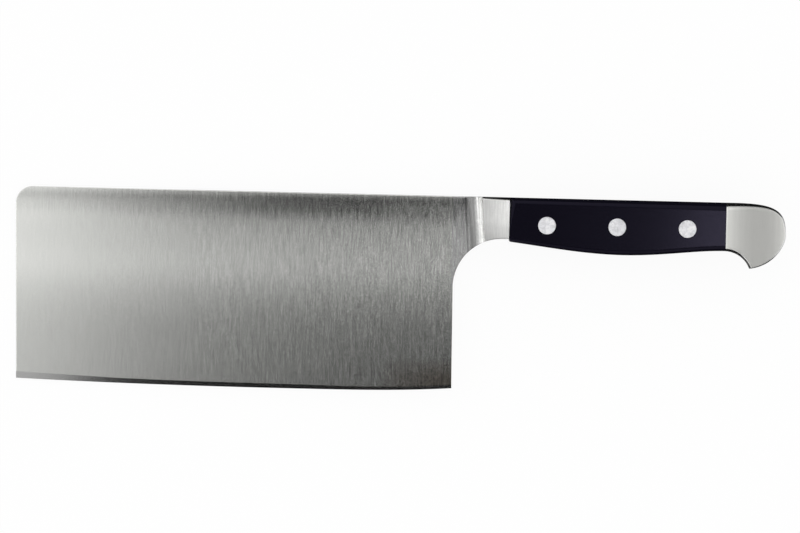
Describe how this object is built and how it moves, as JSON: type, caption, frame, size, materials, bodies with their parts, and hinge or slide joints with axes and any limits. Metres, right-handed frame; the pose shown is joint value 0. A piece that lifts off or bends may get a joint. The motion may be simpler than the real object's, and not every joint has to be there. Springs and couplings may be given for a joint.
{
  "type": "cleaver",
  "caption": "Broad forged kitchen cleaver: tall rectangular blade, solid bolster, full tang with riveted black scales and a hooked steel butt.",
  "frame": {"origin": "middle of the knife's bounding box, on the plane of its lower side", "axes": "+X from the blade towards the butt, +Y from the cutting edge towards the spine, +Z out of the upper cheek; the knife lies flat"},
  "size_m": [0.3184, 0.081, 0.017],
  "materials": {
    "blade_steel": "satin, ground crosswise to the blade",
    "scale_plastic": "smooth semi-matt black moulded plastic",
    "rivet_steel": "fine satin, ground flush with the scales"
  },
  "bodies": {
    "root": {"blade_forging": "blade_steel", "handle_scale_upper": "scale_plastic", "handle_scale_lower": "scale_plastic", "rivet_stud_1": "rivet_steel", "rivet_stud_2": "rivet_steel", "rivet_stud_3": "rivet_steel", "rivet_sleeve_1": "rivet_steel", "rivet_sleeve_2": "rivet_steel", "rivet_sleeve_3": "rivet_steel"}
  },
  "joints": []
}
